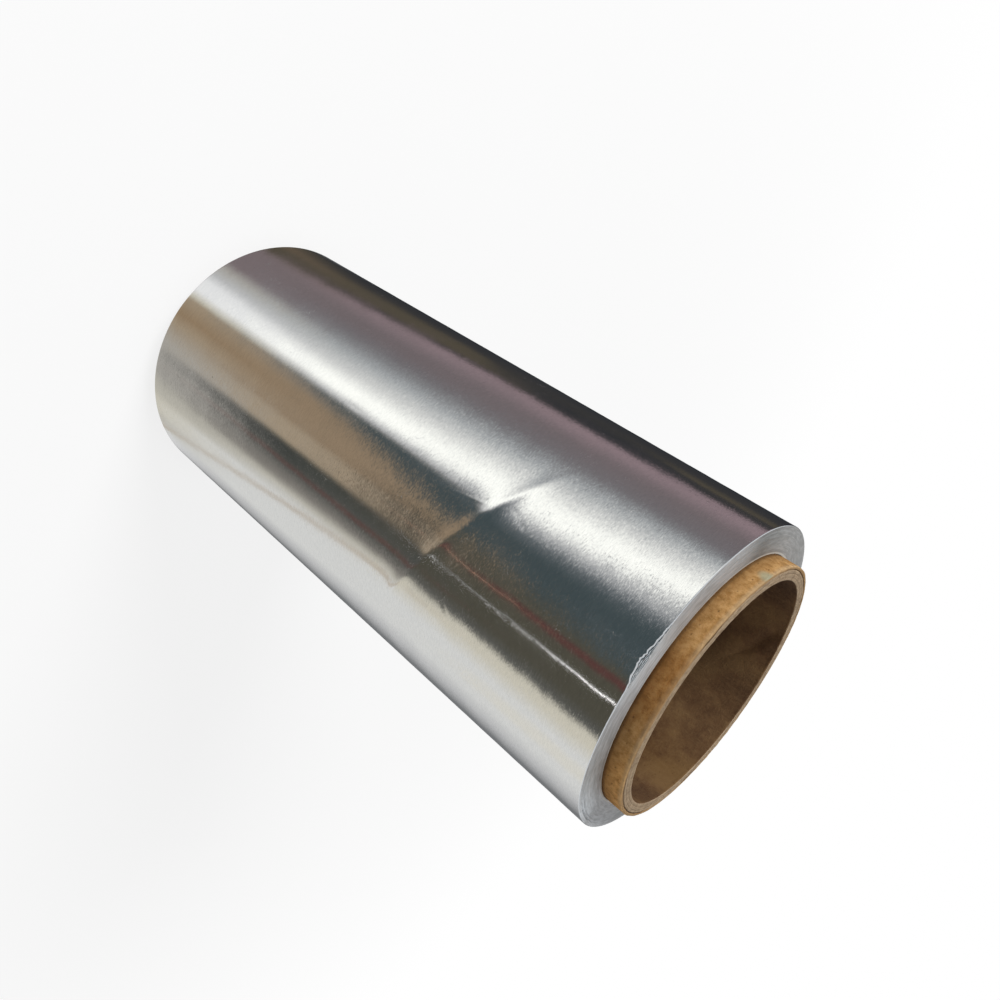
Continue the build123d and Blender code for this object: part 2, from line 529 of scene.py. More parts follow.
def lifted_turns(degrees, depth):
    """Depth of the gaps behind the last few turns, in mm, where they stand off the rest."""
    where = hump(degrees, -18, 16) + 0.5 * hump(degrees, -150, 9)
    return where * (0.25 * hump(depth, 0.75, 0.07) + 0.15 * hump(depth, 1.25, 0.06))


def upper_relief(degrees, depth):
    return end_relief(degrees, depth, 5) - nick_depth(degrees, depth) - lifted_turns(degrees, depth)


def lower_relief(degrees, depth):
    return end_relief(degrees, depth, 6) - lifted_turns(degrees + 140, depth)


def on_circle(degrees, radius, height):
    """Points at a radius and a height over the foot, in mm, at angles from +X."""
    degrees, radius, height = np.broadcast_arrays(degrees, radius, height)
    turn = np.radians(degrees)
    return np.stack([radius * np.cos(turn), radius * np.sin(turn), height], axis=-1)


def end_rows(degrees, outer, plane, outwards, relief, flat_in):
    """Rows of an end, from its rubbed rim in to the core: a quarter round, then the flat and its relief.

    flat_in holds the depths of the flat's rows, one for each angle or the same all round.
    """
    turn = np.linspace(0, pi / 2, rim_rows + 1)[:-1, None]
    rim_in = rim_round * (1 - np.cos(turn))
    rim = plane - outwards * rim_round * (1 - np.sin(turn))
    rim = rim + outwards * relief(*np.broadcast_arrays(degrees, rim_in))
    flat = plane + outwards * relief(*np.broadcast_arrays(degrees, flat_in))
    return np.concatenate([
        on_circle(degrees, outer - rim_in, rim), on_circle(degrees, outer - flat_in, flat),
        on_circle(degrees, foil_inner, plane)[None],
    ])


def torn_rows(degrees):
    """Depths of the rows that follow the torn borders: one close before and one close behind each."""
    borders, _ = torn_borders(degrees)
    rows, close = [rim_round + 0 * degrees], 0.004
    for border in borders:
        rows += [(rows[-1] + border) / 2, border - close, border + close]
    return np.stack(rows)


def closed_grid(name, points, face_materials, materials, smooth_degrees=60, rows_meet=True):
    """Object at the origin from a grid of points (rows, columns, 3) in mm, whose columns close up.

    The last row meets the first one too, unless both are pinched shut, each half of the row lying on
    the other half. face_materials gives the number of a material for each row of faces or each face.
    """
    rows, columns = points.shape[:2]
    index = np.arange(rows * columns).reshape(rows, columns)
    beside = np.roll(index, -1, axis=1)
    quads = np.stack([index, beside, np.roll(beside, -1, axis=0), np.roll(index, -1, axis=0)], axis=-1)
    if face_materials.ndim == 1:
        face_materials = np.repeat(face_materials, columns)
    mesh = quad_mesh(name, points, quads[:rows if rows_meet else rows - 1], face_materials, materials)
    return shown(name, mesh, smooth_degrees, merge=not rows_meet)


def quad_mesh(name, points, quads, face_materials, materials):
    """Mesh from points in mm and from faces that name four of them each."""
    mesh = bpy.data.meshes.new(name)
    mesh.vertices.add(points.size // 3)
    mesh.vertices.foreach_set("co", (points.reshape(-1) / 1000).astype(np.float32))
    mesh.loops.add(quads.size)
    mesh.loops.foreach_set("vertex_index", quads.reshape(-1).astype(np.int32))
    mesh.polygons.add(quads.size // 4)
    mesh.polygons.foreach_set("loop_start", np.arange(0, quads.size, 4, dtype=np.int32))
    for material in materials:
        mesh.materials.append(material)
    mesh.polygons.foreach_set("material_index", face_materials.reshape(-1).astype(np.int32))
    mesh.update(calc_edges=True)
    return mesh


def shown(name, mesh, smooth_degrees, merge):
    """Object of a mesh, smooth but for edges sharper than smooth_degrees, its doubles merged if asked."""
    if merge:
        merged = bmesh.new()
        merged.from_mesh(mesh)
        bmesh.ops.remove_doubles(merged, verts=merged.verts, dist=1e-8)
        bmesh.ops.dissolve_degenerate(merged, edges=merged.edges, dist=1e-9)
        merged.to_mesh(mesh)
        merged.free()
    mesh.polygons.foreach_set("use_smooth", np.ones(len(mesh.polygons), dtype=bool))
    mesh.set_sharp_from_angle(angle=radians(smooth_degrees))
    return placed(name, mesh)


def group(name, inputs, outputs):
    """Node group with named inputs, as (name, kind, value), and named outputs, as (name, kind)."""
    made = bpy.data.node_groups.new(name, "ShaderNodeTree")
    for title, kind, value in inputs:
        made.interface.new_socket(title, in_out="INPUT", socket_type=kind).default_value = value
    for title, kind in outputs:
        made.interface.new_socket(title, in_out="OUTPUT", socket_type=kind)
    return made, made.nodes.new("NodeGroupInput").outputs, made.nodes.new("NodeGroupOutput").inputs


def vector(tree, operation, *operands):
    """Output of a Vector Math node, each operand being a value or another node's output."""
    made = node(tree, "ShaderNodeVectorMath", operation=operation)
    sockets = [made.inputs[0], made.inputs["Scale"]] if operation == "SCALE" else made.inputs
    for socket, operand in zip(sockets, operands):
        give(tree, socket, operand)
    return made.outputs["Value" if operation == "LENGTH" else "Vector"]


def object_place(tree):
    """Place on the object, in m."""
    return node(tree, "ShaderNodeTexCoord").outputs["Object"]


def axes_of(tree, place):
    """Outputs X, Y and Z of a vector."""
    return node(tree, "ShaderNodeSeparateXYZ", place).outputs


def level_part(tree, place):
    """A place without its height."""
    return vector(tree, "MULTIPLY", place, (1.0, 1.0, 0.0))


def angle_round(tree, place):
    """Angle of a place round the roll's axis, in degrees from +X."""
    axes = axes_of(tree, place)
    return math(tree, "MULTIPLY", math(tree, "ARCTAN2", axes["Y"], axes["X"]), 180 / pi)


def drawn_out(tree, place, run_per_m, fine):
    """Place to read a noise at, so that it is drawn out round the roll and fine along fine."""
    upright = node(tree, "ShaderNodeCombineXYZ", None, None, fine).outputs[0]
    return vector(tree, "ADD", vector(tree, "SCALE", level_part(tree, place), run_per_m), upright)


def noise(tree, place, scale, detail, roughness=0.5, distortion=0.0):
    """Value and colour of a noise: patches of 1 / scale across, with detail finer layers over them."""
    return node(tree, "ShaderNodeTexNoise", place, Scale=scale, Detail=detail, Roughness=roughness,
                Distortion=distortion).outputs


# Rolling lines: the mill's rolls leave fine parallel lines along the strip, which lie round the roll on
# its side and on its ends alike. Their noise is drawn out along x and y, and is fine along z plus the
# radius. It tips the normal round the roll and across the lines. Short strokes tip it across only
FLOAT, VECTOR = "NodeSocketFloat", "NodeSocketVector"
rolling_lines, given, result = group(
    "rolling_lines",
    [("Lines per mm", FLOAT, 6.0), ("Run per m", FLOAT, 260.0), ("Tilt round", FLOAT, 0.03),
     ("Tilt across", FLOAT, 0.02), ("Stroke tilt", FLOAT, 0.03), ("Stroke share", FLOAT, 1.0)],
    [("Normal", VECTOR), ("Streak", FLOAT), ("Stroke", FLOAT)],
)
tree = rolling_lines
place = object_place(tree)
level_place = level_part(tree, place)
up_and_out = math(tree, "ADD", axes_of(tree, place)["Z"], vector(tree, "LENGTH", level_place))
swaying = math(tree, "MULTIPLY_ADD", noise(tree, place, 90.0, 1.0)[0], 0.0012, up_and_out)
fine = product(tree, given["Lines per mm"], 1000.0, swaying)
lines = noise(tree, drawn_out(tree, place, given["Run per m"], fine), 1.0, 3.0, roughness=0.6)
parts = axes_of(tree, vector(tree, "SUBTRACT", lines["Color"], (0.5, 0.5, 0.5)))
stroke_run_per_m, strokes_per_m = 2100.0, 6200.0
stroke_place = drawn_out(tree, place, stroke_run_per_m, math(tree, "MULTIPLY", up_and_out, strokes_per_m))
strokes = noise(tree, stroke_place, 1.0, 2.0, roughness=0.6, distortion=0.6)[0]
stroke = math(tree, "SUBTRACT", ease(tree, strokes, 0.5, 0.72), ease(tree, strokes, 0.5, 0.28))
stroke = math(tree, "MULTIPLY", stroke, given["Stroke share"])
normal = node(tree, "ShaderNodeNewGeometry").outputs["Normal"]
round_way = vector(tree, "NORMALIZE", vector(tree, "CROSS_PRODUCT", (0.0, 0.0, 1.0), level_place))
across_way = vector(tree, "CROSS_PRODUCT", round_way, normal)
lean_round = math(tree, "MULTIPLY", parts["X"], given["Tilt round"])
lean_across = math(tree, "MULTIPLY_ADD", stroke, given["Stroke tilt"],
                   math(tree, "MULTIPLY", parts["Y"], given["Tilt across"]))
tipped = vector(tree, "ADD", normal, vector(tree, "SCALE", round_way, lean_round))
tipped = vector(tree, "ADD", tipped, vector(tree, "SCALE", across_way, lean_across))
streak = ease(tree, math(tree, "ADD", parts["Z"], 0.5), 0.3, 0.7)
feed(tree, result, Normal=vector(tree, "NORMALIZE", tipped), Streak=streak,
     Stroke=math(tree, "ABSOLUTE", stroke))

# Scuffs: hair-fine curved scratches, dull specks and haze from handling. A scratch is where a noise
# passes its middle value, and is kept only in patches
scuffs, given, result = group(
    "scuffs", [("Density", FLOAT, 0.5)], [("Scratches", FLOAT), ("Specks", FLOAT), ("Haze", FLOAT)]
)
tree = scuffs
place = object_place(tree)
curls = noise(tree, place, 480.0, 1.0, distortion=0.6)[0]
from_middle = math(tree, "ABSOLUTE", math(tree, "SUBTRACT", curls, 0.5))
more = math(tree, "MULTIPLY_ADD", given["Density"], 0.2, noise(tree, place, 260.0, 3.0)[0])
scratches = math(tree, "MULTIPLY", ease(tree, from_middle, 0.007, 0.0), ease(tree, more, 0.52, 0.72))
dots = node(tree, "ShaderNodeTexVoronoi", place, Scale=600.0)
rare = ease(tree, math(tree, "MULTIPLY_ADD", given["Density"], 0.03, dots.outputs["Color"]), 0.955, 0.965)
specks = math(tree, "MULTIPLY", ease(tree, dots.outputs["Distance"], 0.14, 0.07), rare)
haze = ease(tree, noise(tree, place, 75.0, 4.0, roughness=0.6)[0], 0.35, 0.7)
feed(tree, result, Scratches=scratches, Specks=specks, Haze=haze)


def use(tree, group_tree, **values):
    """Places a group in a material with its own values or other nodes' outputs, and gives its outputs."""
    made = node(tree, "ShaderNodeGroup", node_tree=group_tree)
    feed(tree, made.inputs, **values)
    return made.outputs


def material(name, **values):
    """New Principled material with plain values on its sockets, its tree and its surface's sockets."""
    made = bpy.data.materials.new(name)
    made.use_nodes = True
    surface = made.node_tree.nodes["Principled BSDF"].inputs
    feed(made.node_tree, surface, **values)
    return made, made.node_tree, surface


def tint(tree, tone, mask, cover, colour):
    """Tone with a colour over it where mask is 1, which covers that share of it."""
    return mix(tree, math(tree, "MULTIPLY", mask, cover), tone, colour)


# The side: bright rolled foil, smooth round the roll and slightly rough along it. Its upper part has
# been handled most, and shows the strokes best
bright_foil, tree, surface = material(
    "bright_foil", Metallic=1.0, Anisotropic=0.85, Anisotropic_Rotation=0.25
)
tangent = node(tree, "ShaderNodeTangent", direction_type="RADIAL", axis="Z").outputs[0]
handled_from, handled_above = 0.045, 0.085          # heights in m
handled = ease(tree, axes_of(tree, object_place(tree))["Z"], handled_from, handled_above, low=0.3)
lines = use(tree, rolling_lines, Lines_per_mm=7.5, Run_per_m=1100.0, Tilt_round=0.011, Tilt_across=0.045,
            Stroke_tilt=0.055, Stroke_share=handled)
marks = use(tree, scuffs, Density=0.5)
tone = mix(tree, lines["Streak"], (0.86, 0.87, 0.88), (0.95, 0.955, 0.96))
tone = tint(tree, tone, marks["Specks"], 0.4, (0.5, 0.5, 0.49))
rough = math(tree, "MULTIPLY_ADD", marks["Haze"], 0.04, 0.085)
for mark, roughened in (marks["Scratches"], 0.13), (lines["Stroke"], 0.07), (marks["Specks"], 0.15):
    rough = math(tree, "MULTIPLY_ADD", mark, roughened, rough)
feed(tree, surface, Tangent=tangent, Normal=lines["Normal"], Base_Color=tone, Roughness=rough)

# The ends: slit edges, which scatter the light softly. Their tone rises and falls by angle, in degrees
# from +X, which is a painted reflection, and by the core a pale ring is a painted highlight
dim_sheen, plain = (0.27, 0.27, 0.262), (0.45, 0.45, 0.44)
lit_sheen, bright = (0.57, 0.58, 0.59), (0.75, 0.78, 0.80)
slit_edges, tree, surface = material("slit_foil_edges", Metallic=0.4)
lines = use(tree, rolling_lines, Lines_per_mm=9.0, Run_per_m=180.0, Tilt_round=0.10, Tilt_across=0.30,
            Stroke_tilt=0.1)
marks = use(tree, scuffs, Density=0.2)
place = object_place(tree)
# Painted reflection: the ends' tone rises and falls by angle round the roll, as the room's reflection would
painted_sheen = ring(tree, angle_round(tree, place), [
    (0, lit_sheen), (25, plain), (60, lit_sheen), (120, dim_sheen), (155, plain), (197, plain), (216, dim_sheen),
    (232, lit_sheen), (250, lit_sheen), (260, lit_sheen), (268, bright), (282, bright), (293, lit_sheen),
    (315, plain), (338, bright), (350, lit_sheen),
])
from_axis = vector(tree, "LENGTH", level_part(tree, place))
smudge_place = drawn_out(tree, place, 420.0, math(tree, "MULTIPLY", from_axis, 2200.0))
smudges = ease(tree, noise(tree, smudge_place, 1.0, 3.0, roughness=0.6)[0], 0.35, 0.65)
smudged = mix(tree, smudges, (0.82, 0.82, 0.815), (1.08, 1.08, 1.09))
grain = mix(tree, lines["Streak"], (0.80, 0.80, 0.80), (1.0, 1.0, 1.0))
tone = mix(tree, 1.0, mix(tree, 1.0, painted_sheen, smudged, blend="MULTIPLY"), grain, blend="MULTIPLY")
# Painted highlight: a pale cream ring on the innermost turns by the core
inner_edge_highlight = ease(tree, from_axis, (foil_inner + 0.45) / 1000, (foil_inner + 0.15) / 1000)
tone = tint(tree, tone, inner_edge_highlight, 0.75, (0.86, 0.83, 0.76))
rough = math(tree, "MULTIPLY_ADD", marks["Haze"], 0.10, 0.50)
feed(tree, surface, Normal=lines["Normal"], Base_Color=tone, Roughness=rough)

# Grid lines lie close together on the front and at the rims. Rows run up the side, in across the upper
# end, down the core and out across the lower end
degrees = np.concatenate([
    np.arange(-168, -100, 0.7), np.arange(-100, -76, 0.35), np.arange(-76, -8, 0.7),
    np.linspace(-8, 192, 122)[:-1],
])
first_below, near_rim = 0.2, 2.4        # the rows between these follow the torn turns down
below = np.concatenate([
    np.arange(first_below, near_rim, 0.2), np.arange(near_rim, 25, 0.6), np.arange(25, 47, 0.4),
    np.arange(47, 116, 1.9), np.arange(116, 119.9, 0.4),
])[::-1, None]
torn_back = nick_depth(degrees, 0 * degrees)
pushed_down = torn_back * np.clip((near_rim - below) / (near_rim - first_below), 0, 1)
side_radii = side_surface(*np.broadcast_arrays(degrees, below))
side = on_circle(degrees, side_radii, foil_top - below - pushed_down)
innermost = side_radius - foil_inner - 0.12         # depth of the last row before the core
lifted = 1.5                                        # depth to which turns may stand off the rest
past_torn = np.concatenate([np.arange(0.92, lifted, 0.08), np.linspace(lifted, innermost, 18)])[:, None]
upper_in = np.concatenate([torn_rows(degrees), past_torn + 0 * degrees])
lower_in = np.concatenate([np.arange(rim_round, lifted, 0.08), np.linspace(lifted, innermost, 16)])[:, None]
upper_end = end_rows(degrees, side_radii[-1], foil_top - end_sink, 1, upper_relief, upper_in)
lower_end = end_rows(degrees, side_radii[0], foil_bottom + end_sink, -1, lower_relief, lower_in)
# Faces of the ends show slit edges, but for the steep steps of the torn turns, which show foil
points = np.concatenate([side, upper_end, lower_end[::-1]])
is_end = np.ones((len(points), len(degrees)), dtype=int)
is_end[:len(side) + rim_rows - 1] = 0
is_end[1 - rim_rows:] = 0
step = np.roll(points, -1, axis=0) - points
steep = np.abs(step[..., 2]) > np.hypot(step[..., 0], step[..., 1])
is_torn = torn_back > 0.02
foil = closed_grid("wound_foil", points, is_end * ~(steep & is_torn), [bright_foil, slit_edges])
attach(foil, "root")
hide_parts("foil_winding")

# Free end of the foil
# The last turn's cut end, at the back of the roll. Nothing holds it down, so it springs off the turn
# below it by a little, and most at its corners. It is the same strip as the winding, and the blade has
# bent its very edge outwards.
tail_root, tail_cut = 20.0, 50.0        # degrees from +X
tail_lift = 0.34
tail_thickness = 0.04                   # which runs out to nothing at all four borders
root_sink = 0.02                        # the root lies this far inside the side, and the tail comes out
edge_bend, bend_sharpness = 0.10, 30    # mm outwards, and the power of the share at which it sets in
# share runs along the tail, from 0 at its root to 1 at its cut edge, in steps that shorten on the way
share = 1 - (1 - np.linspace(0, 1, 50)[:, None]) ** 1.5
below = np.concatenate([np.arange(0.25, 3, 0.5), np.arange(3, 117, 1.5), np.arange(117, 119.8, 0.5)])
cut = tail_cut + 0.35 * np.sin(below * 0.07) + 0.15 * np.sin(below * 0.31)
cut = cut + 0.06 * np.sin(below * 2.3 + 1)
degrees = tail_root + share * (cut - tail_root)
at_corners = np.exp(-below / 5) + np.exp(-(foil_width - below) / 7)
spring = tail_lift * (0.75 + 0.25 * at_corners + 0.06 * np.sin(below * 0.21)) * share**2
spring = spring + edge_bend * share**bend_sharpness
outside = side_surface(degrees, below + 0 * degrees) - root_sink
outside = outside + 2 * root_sink * np.minimum(share * 6, 1) + spring
tapered = np.minimum(share * 12, 1) * np.minimum((1 - share) * 60, 1)
hemmed = np.minimum(np.minimum(below, foil_width - below) * 2, 1)
inside = outside - tail_thickness * tapered * hemmed
outer_face, inner_face = (on_circle(degrees, radius, foil_top - below) for radius in (outside, inside))
tail = closed_grid(
    "foil_free_end", np.concatenate([outer_face, inner_face[:, -2:0:-1]], axis=1),
    np.zeros(len(share) - 1, dtype=int), [bright_foil], rows_meet=False,
)
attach(tail, "root")
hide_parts("foil_winding")

# Core
# A tube of brown kraft paper, wound slantwise in four glued plies and cut square, so a seam runs round
# inside and outside as a screw line. Its ends stand out of the foil. The saw leaves a pale, fuzzy cut.
core_bottom, core_top = core_low.z, core_high.z
core_bore = next(mount for mount in frame["record"]["mounts"] if mount["name"] == "core_bore")
bore_radius = core_bore["dims"]["r_mm"]
ply_count = 4
ply_thickness = (core_radius - bore_radius) / ply_count
wall_slack = 0.02                       # the walls lie this far inside the core's box, so bulges fit
seam_pitch = 88.0
seam_ahead = 0.6                        # mm below the foot where the seams start, over +X
seam_half_width, seam_depth = 0.30, 0.12
cut_round, round_rows = 0.25, 4         # the cut's edges are crushed round by this much, in rows
cut_sink = 0.10                         # the cut lies this far inside the core's box, for its fuzz

fine_by_seam = np.arange(-2.25, 2.26, 0.3)
seam_column = seam_ahead / seam_pitch * 360
core_columns = np.concatenate([fine_by_seam, np.arange(3.5, 357.5, 1.5)]) + seam_column
near_lower_cut, near_upper_cut = 4, 123.2           # rows lie further apart between these heights
heights = np.concatenate([
    np.arange(cut_round, near_lower_cut, 0.35), np.arange(near_lower_cut, near_upper_cut, 1.8),
    np.arange(near_upper_cut, core_top - cut_round, 0.35),
])[:, None]


def screwed(columns, height):
    """Angles of the grid's columns, in degrees, which run round with the seams as the height grows."""
    return columns + 360 * height / seam_pitch


def seam_groove(columns):
    """Depth of the seam, in mm: a V along the columns that follow it."""
    apart = np.radians(columns - seam_column) * core_radius
    return seam_depth * np.maximum(1 - np.abs(apart) / seam_half_width, 0)


def paper_bulge(degrees, height, seed):
    """Slow unevenness of the paper, in mm: a sum of seven slanting sine waves."""
    waves = np.random.default_rng(seed)
    total = np.zeros(np.broadcast_shapes(degrees.shape, height.shape))
    for _ in range(7):
        round_turn, up_core = waves.integers(2, 40), waves.uniform(0.05, 1.2)
        phase = np.radians(degrees) * round_turn + height * up_core + waves.uniform(0, 2 * pi)
        total = total + np.sin(phase)
    return 0.006 * total


def cut_relief(degrees, radius, seed):
    """Height of a cut end over its plane, in mm.

    Each ply stands up by its own little, waving as it goes round, and a sharp dip runs between plies.
    A fine ripple from the saw lies over all.
    """
    saw = np.random.default_rng(seed)
    turn = np.radians(degrees)
    total = 0.015 * np.sin(turn * 97 + radius * 5)
    for count in range(ply_count):
        from_inside = radius - bore_radius - ply_thickness * count
        level = 0.03 * np.sin(saw.integers(3, 9) * turn + saw.uniform(0, 6))
        level = level + 0.02 * np.sin(saw.integers(20, 60) * turn)
        total = total + np.where((from_inside >= 0) & (from_inside < ply_thickness), level, 0)
        wander = 0.04 * np.sin(turn * saw.integers(4, 12) + saw.uniform(0, 6))
        deep = (0.05 + 0.04 * np.sin(turn * saw.integers(2, 7) + saw.uniform(0, 6))) * (count > 0)
        deep = deep + 0.10 * (count == ply_count - 1)
        total = total - deep * hump(from_inside, wander, 0.07)
    return total


def cut_rows(plane, outwards, seed):
    """Rows of a cut end, from the outer wall in to the bore, and the round edges on both sides of it."""
    turn = np.linspace(0, pi / 2, round_rows + 1)[:-1, None]
    columns = screwed(core_columns, plane)[None]
    outer_in, sink = cut_round * (1 - np.cos(turn)), cut_round * (1 - np.sin(turn))
    radii = np.linspace(core_radius - cut_round, bore_radius + cut_round, 30)[:, None]
    face = plane + outwards * cut_relief(columns, radii, seed)
    edge = paper_bulge(columns, np.array([[plane]]), seed) * 2
    return np.concatenate([
        on_circle(columns, core_radius - outer_in + edge, plane - outwards * sink + 0 * columns),
        on_circle(columns, radii + 0 * columns, face),
        on_circle(columns, bore_radius + outer_in[::-1], plane - outwards * sink[::-1] + 0 * columns),
    ])


angles = screwed(core_columns, heights)
outer_radii = core_radius - wall_slack - seam_groove(core_columns) + paper_bulge(core_columns, heights, 11)
outer_wall = on_circle(angles, outer_radii, heights)
# The inner ply's seam is shallower. It has a soft dent by the upper cut, between two places, each an
# angle and a height. Round the bore the dent is narrower than its half width, as ridge() says
dent_low, dent_high = (111.0, 121.4), (133.0, 125.4)
dent_half_width, dent_depth = 1.0, 0.45
dent = ridge(*np.broadcast_arrays(angles % 360, heights), dent_low, dent_high, dent_half_width, dent_depth)
inner_radii = bore_radius + wall_slack + seam_groove(core_columns) * 0.2
inner_radii = inner_radii + paper_bulge(core_columns, heights, 12) + dent
inner_wall = on_circle(angles, inner_radii, heights)[::-1]
upper_cut = cut_rows(core_top - cut_sink, 1, 21)
lower_cut = cut_rows(core_bottom + cut_sink, -1, 22)[::-1]

# Paper fibres: brown wood fibres in all directions, clumped into lighter and darker patches, with dark
# flecks of bark
paper_fibres, given, result = group(
    "paper_fibres", [("Patch size per m", FLOAT, 420.0), ("Fibre size per m", FLOAT, 1700.0)],
    [("Patches", FLOAT), ("Fibres", FLOAT), ("Flecks", FLOAT)],
)
tree = paper_fibres
place = object_place(tree)
patches = ease(tree, noise(tree, place, given["Patch size per m"], 5.0, roughness=0.62)[0], 0.3, 0.7)
crossing = 0.0
for stretch in (1.0, 1.0, 2.6), (1.7, 1.7, 0.7):    # laid fibres, and slanted ones over them
    stretched = vector(tree, "MULTIPLY", place, stretch)
    fibres = noise(tree, stretched, given["Fibre size per m"], 4.0, roughness=0.7, distortion=0.7)[0]
    crossing = math(tree, "MAXIMUM", fibres, crossing)
flakes = node(tree, "ShaderNodeTexVoronoi", vector(tree, "MULTIPLY", place, (1.0, 1.0, 1.6)), Scale=950.0)
rare = ease(tree, flakes.outputs["Color"], 0.60, 0.72)
flecks = math(tree, "MULTIPLY", ease(tree, flakes.outputs["Distance"], 0.26, 0.10), rare)
feed(tree, result, Patches=patches, Fibres=ease(tree, crossing, 0.4, 0.75), Flecks=flecks)


def bumped(tree, height, strength, distance):
    """Normal output of a Bump node over a height from 0 to 1, distance being what 1 stands for, in m."""
    return node(tree, "ShaderNodeBump", Strength=strength, Distance=distance, Height=height).outputs[0]


# Outside, the paper is darker beside the foil, most of all against it, which is painted shade, and paler
# by the cut. Round the core it is lighter or darker by angle, which is painted light and shade.
# Distances are in mm
kraft_outside, tree, surface = material("kraft_outside", Roughness=0.9, Specular_IOR_Level=0.25)
paper = use(tree, paper_fibres, Patch_size_per_m=900.0, Fibre_size_per_m=2200.0)
tone = ramp(tree, paper["Patches"], [
    (0.0, (0.26, 0.12, 0.030)), (0.5, (0.40, 0.198, 0.062)), (1.0, (0.52, 0.29, 0.108)),
])
tone = tint(tree, tone, paper["Fibres"], 0.45, (0.56, 0.335, 0.135))
tone = tint(tree, tone, paper["Flecks"], 0.7, (0.10, 0.045, 0.016))
place = object_place(tree)
middle_height = (core_top + core_bottom) / 2000
from_middle = math(tree, "ABSOLUTE", math(tree, "SUBTRACT", axes_of(tree, place)["Z"], middle_height))
foil_half, core_half = foil_width / 2, (core_top - core_bottom) / 2
# The first two are painted shade where the core meets the foil. The third is paler by the cut
for far_off, close_by, cover, colour in (
    (foil_half + 2.6, foil_half, 0.5, (0.17, 0.078, 0.024)),
    (foil_half + 0.7, foil_half + 0.1, 0.7, (0.07, 0.032, 0.012)),
    (core_half - 1.0, core_half - 0.2, 0.45, (0.50, 0.36, 0.21)),
):
    tone = tint(tree, tone, ease(tree, from_middle, far_off / 1000, close_by / 1000), cover, colour)
stain_place = (-0.0171, -0.0153, 0.1266)            # of a small green stain, in m
from_stain = vector(tree, "LENGTH", vector(tree, "SUBTRACT", place, stain_place))
tone = tint(tree, tone, ease(tree, from_stain, 0.0017, 0.0005), 0.55, (0.27, 0.33, 0.24))
# Painted light and shade: the outside is lighter or darker by its angle round the core
lit_cooler, shaded_browner, lit_brightest = (1.06, 1.12, 1.20), (0.76, 0.70, 0.62), (1.48, 1.46, 1.36)
painted_light_by_angle = ring(tree, angle_round(tree, place), [
    (0, lit_brightest), (40, lit_cooler), (110, shaded_browner), (170, lit_cooler), (250, lit_cooler), (260, lit_cooler), (269, shaded_browner),
    (286, shaded_browner), (302, lit_cooler), (318, lit_brightest), (345, lit_brightest),
])
tone = mix(tree, 1.0, tone, painted_light_by_angle, blend="MULTIPLY")
relief = math(tree, "MULTIPLY_ADD", paper["Patches"], 0.5, paper["Fibres"])
feed(tree, surface, Base_Color=tone, Normal=bumped(tree, relief, 0.7, 0.00012))

# The cut shows a dark line between plies, darkest at the outer ply, which is browner than the rest
core_cut, tree, surface = material("core_cut", Roughness=0.95, Specular_IOR_Level=0.2)
paper = use(tree, paper_fibres, Patch_size_per_m=900.0, Fibre_size_per_m=2600.0)
place = object_place(tree)
line_wander = 0.00025                               # m that the lines wander, from side to side
from_axis = vector(tree, "LENGTH", level_part(tree, place))
wandered = math(tree, "MULTIPLY_ADD", noise(tree, place, 160.0, 2.0)[0], line_wander, from_axis)
from_bore = math(tree, "SUBTRACT", wandered, bore_radius / 1000 + line_wander / 2)
plies_out = math(tree, "DIVIDE", from_bore, ply_thickness / 1000)
in_ply = math(tree, "FRACT", math(tree, "ADD", plies_out, 0.5))
to_line = math(tree, "ABSOLUTE", math(tree, "SUBTRACT", in_ply, 0.5))
tone = mix(tree, paper["Patches"], (0.28, 0.19, 0.115), (0.47, 0.345, 0.22))
tone = tint(tree, tone, paper["Fibres"], 0.5, (0.62, 0.50, 0.37))
outer_ply = ease(tree, plies_out, 2.85, 3.0)
tone = tint(tree, tone, outer_ply, 0.75, (0.42, 0.25, 0.105))
line_cover = math(tree, "MULTIPLY_ADD", outer_ply, 0.55, 0.30)
tone = tint(tree, tone, ease(tree, to_line, 0.15, 0.04), line_cover, (0.075, 0.042, 0.022))
feed(tree, surface, Base_Color=tone, Normal=bumped(tree, paper["Fibres"], 0.8, 0.00010))

# Inside, the paper is darker and smoother, with large soft stains
kraft_inside, tree, surface = material("kraft_inside", Roughness=0.85, Specular_IOR_Level=0.25)
paper = use(tree, paper_fibres, Patch_size_per_m=110.0, Fibre_size_per_m=1200.0)
tone = ramp(tree, paper["Patches"], [
    (0.0, (0.070, 0.034, 0.018)), (0.5, (0.125, 0.067, 0.032)), (1.0, (0.19, 0.112, 0.050)),
])
tone = tint(tree, tone, paper["Fibres"], 0.22, (0.30, 0.20, 0.10))
tone = tint(tree, tone, paper["Flecks"], 0.3, (0.05, 0.025, 0.012))
# Painted light and shade in the bore: lighter or darker by angle round it
darker, as_it_is, lighter = (0.84, 0.80, 0.72), (1.0, 1.0, 1.0), (1.45, 1.42, 1.36)
painted_light_by_angle = ring(tree, angle_round(tree, object_place(tree)), [
    (0, as_it_is), (20, as_it_is), (43, darker), (70, as_it_is), (105, as_it_is), (120, lighter),
    (150, lighter), (200, as_it_is), (300, darker), (330, as_it_is),
])
tone = mix(tree, 1.0, tone, painted_light_by_angle, blend="MULTIPLY")
feed(tree, surface, Base_Color=tone, Normal=bumped(tree, paper["Fibres"], 0.5, 0.00010))

# Each material's rows of faces, in the grid's order: outside, upper cut, inside, lower cut, outside
row_counts = [
    len(outer_wall) + round_rows - 1, len(upper_cut) - 2 * round_rows + 2,
    len(inner_wall) + round_rows + 1, len(lower_cut) - 2 * round_rows + 2, round_rows,
]
core = closed_grid(
    "spiral_core", np.concatenate([outer_wall, upper_cut, inner_wall, lower_cut]),
    np.repeat([0, 1, 2, 1, 0], row_counts), [kraft_outside, core_cut, kraft_inside], smooth_degrees=70,
)
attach(core, "root")
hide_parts("core_tube")

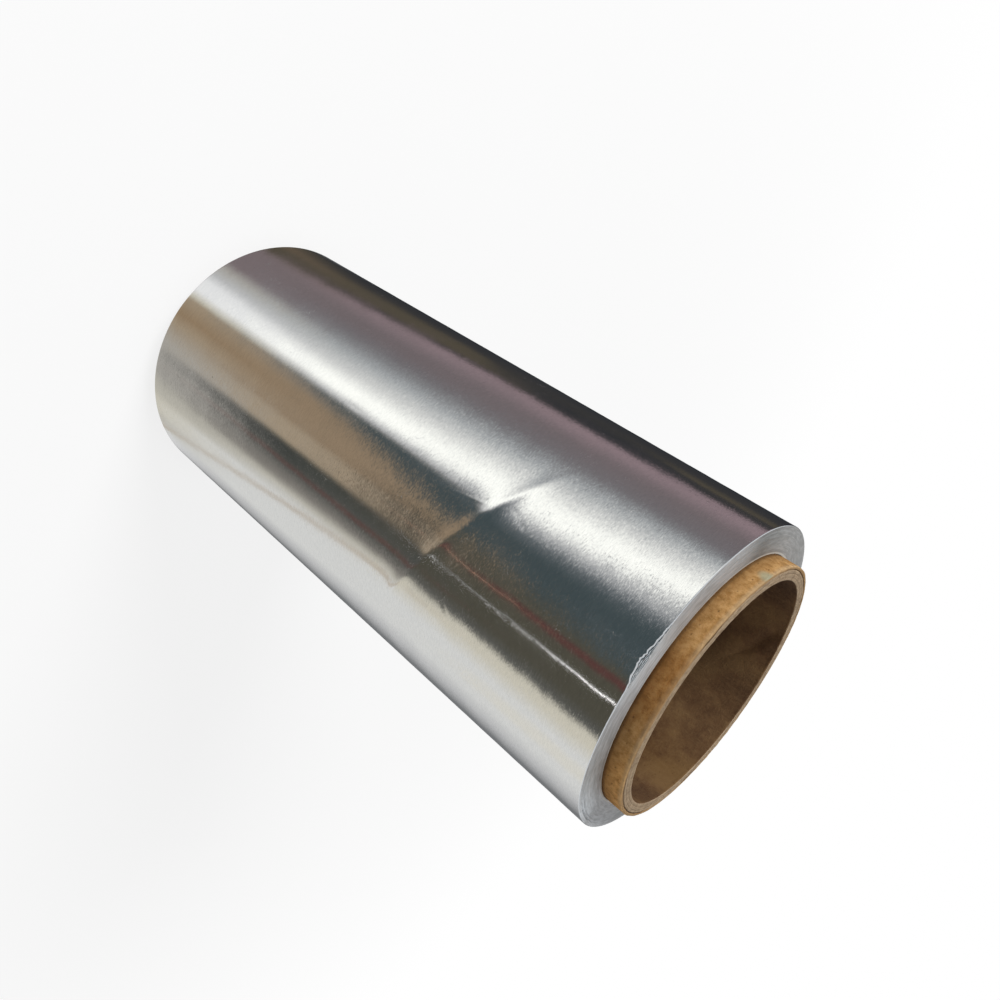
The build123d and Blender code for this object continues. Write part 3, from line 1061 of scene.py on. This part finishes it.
# Loose fibres
# Paper fibres that the saw left standing out of the core's cut ends. Each is a short curved hair,
# rooted in the cut, of the same paper as the core.
hairs_per_end = 130
hair_rings, hair_sides = 6, 4
hair_space = 0.07                       # mm over the cut that a hair may rise
chance = np.random.default_rng(31)


def hairs(plane, outwards):
    """Points of an end's hairs, as (hairs, rings, sides, 3) in mm.

    A hair leaves its root at a slant, bends over as it goes and ends in a point. It keeps within
    hair_space over the cut, and its first ring lies in the paper.
    """
    count = hairs_per_end
    at = chance.uniform(0, 360, count)
    radius = chance.uniform(bore_radius + 0.15, core_radius - 0.3, count)
    heading, length = chance.uniform(0, 2 * pi, count), chance.uniform(0.25, 0.8, count)
    bend, thick = chance.uniform(-1.2, 1.2, count), chance.uniform(0.012, 0.022, count)
    rise = chance.uniform(0.4, 1.0, count) * hair_space
    share = np.linspace(0, 1, hair_rings)
    way = heading[:, None] + bend[:, None] * share
    step = length[:, None] / hair_rings
    root = on_circle(at, radius, plane)[:, None, :]
    line = root + np.stack([
        np.cumsum(np.cos(way) * step, axis=1), np.cumsum(np.sin(way) * step, axis=1),
        outwards * (rise[:, None] * np.sin(pi * 0.6 * share) - 0.05 * (1 - share)),
    ], axis=-1)
    side = 2 * pi * np.arange(hair_sides) / hair_sides
    half = (thick[:, None] * (1 - 0.9 * share))[:, :, None, None]
    level = np.stack([-np.sin(way), np.cos(way), 0 * way], axis=-1)[:, :, None, :]
    upright = np.array([0, 0, 1])
    return line[:, :, None, :] + half * (np.cos(side)[:, None] * level + np.sin(side)[:, None] * upright)


points = np.concatenate([hairs(core_top - cut_sink, 1), hairs(core_bottom + cut_sink, -1)])
index = np.arange(points.size // 3).reshape(points.shape[:3])
beside = np.roll(index, -1, axis=2)
walls = np.stack([index[:, :-1], beside[:, :-1], beside[:, 1:], index[:, 1:]], axis=-1).reshape(-1, 4)
quads = np.concatenate([walls, index[:, 0, ::-1], index[:, -1]])
hair_mesh = quad_mesh("loose_fibres", points, quads, np.zeros(len(quads)), [core_cut])
loose = shown("loose_fibres", hair_mesh, 180, merge=False)
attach(loose, "root")
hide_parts("core_tube")

bpy.context.scene.view_settings.view_transform = "Standard"
